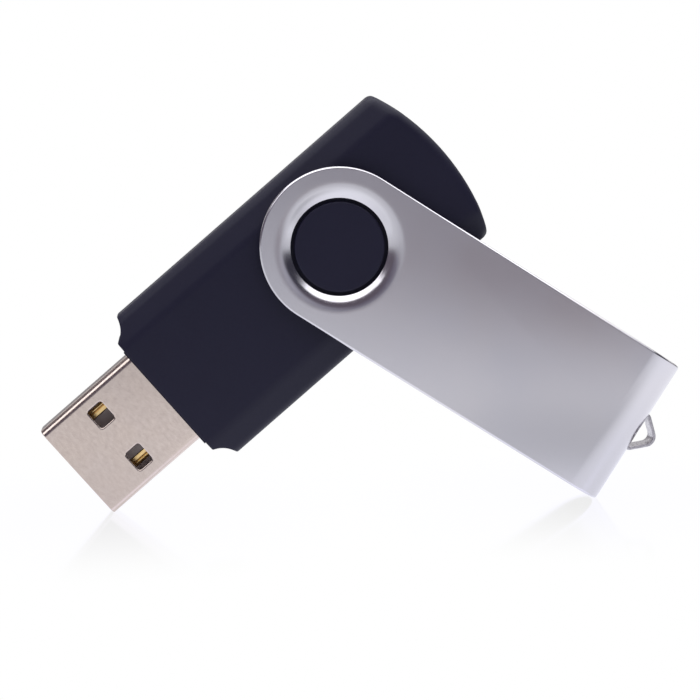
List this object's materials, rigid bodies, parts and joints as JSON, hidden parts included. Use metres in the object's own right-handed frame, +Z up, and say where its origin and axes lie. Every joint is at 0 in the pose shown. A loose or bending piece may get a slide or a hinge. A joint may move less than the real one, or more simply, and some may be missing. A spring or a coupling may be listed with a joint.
{
  "type": "usb flash drive",
  "caption": "Swivel flash drive: soft-touch plastic body with a USB-A plug, turning inside a folded sheet-metal clip with a lanyard loop.",
  "frame": {"origin": "on the surface the open drive stands on, under the centre of its bounding box", "axes": "+Z up with the drive standing on one corner of the plug and one corner of the clip, +X towards the clip's closed end, +Y along the swivel axis, away from the side with the plug's contacts in view"},
  "size_m": [0.0706, 0.01, 0.0449],
  "materials": {
    "soft_touch_black": "soft-touch matte paint, very dark navy-black",
    "satin_aluminium": "satin, finely blasted, with a bright edge",
    "loop_steel": "plain steel strip, slightly rough",
    "plug_nickel": "nickel-plated steel, warm grey, finely mottled",
    "insulator_plastic": "moulded, warm grey",
    "contact_gold": "gold-plated, semi-gloss",
    "board_green": "solder mask over glass-epoxy laminate, semi-gloss",
    "epoxy_black": "moulded epoxy, matte",
    "crystal_can": "plain metal can",
    "led_clear": "cast epoxy lens",
    "capacitor_tan": "ceramic, matte",
    "resistor_black": "glazed ceramic",
    "ferrite_grey": "fired ferrite, matte"
  },
  "bodies": {
    "drive": {"top_shell": "soft_touch_black", "bottom_shell": "soft_touch_black", "plug_shell": "plug_nickel", "plug_insulator": "insulator_plastic", "contact_power": "contact_gold", "contact_data_minus": "contact_gold", "contact_data_plus": "contact_gold", "contact_ground": "contact_gold", "circuit_board": "board_green", "flash_chip": "epoxy_black", "controller_chip": "epoxy_black", "crystal": "crystal_can", "status_led": "led_clear", "capacitor_1": "capacitor_tan", "capacitor_2": "capacitor_tan", "capacitor_3": "capacitor_tan", "capacitor_4": "capacitor_tan", "resistor_1": "resistor_black", "resistor_2": "resistor_black", "resistor_3": "resistor_black", "ferrite_bead": "ferrite_grey"},
    "clip": {"swivel_clip": "satin_aluminium", "lanyard_loop": "loop_steel"}
  },
  "joints": [
    {"name": "clip_swivel", "type": "hinge", "parent": "drive", "child": "clip", "pos_m": [-0.00269, 0, 0.02878], "axis": [0, -1, 0], "continuous": true}
  ]
}
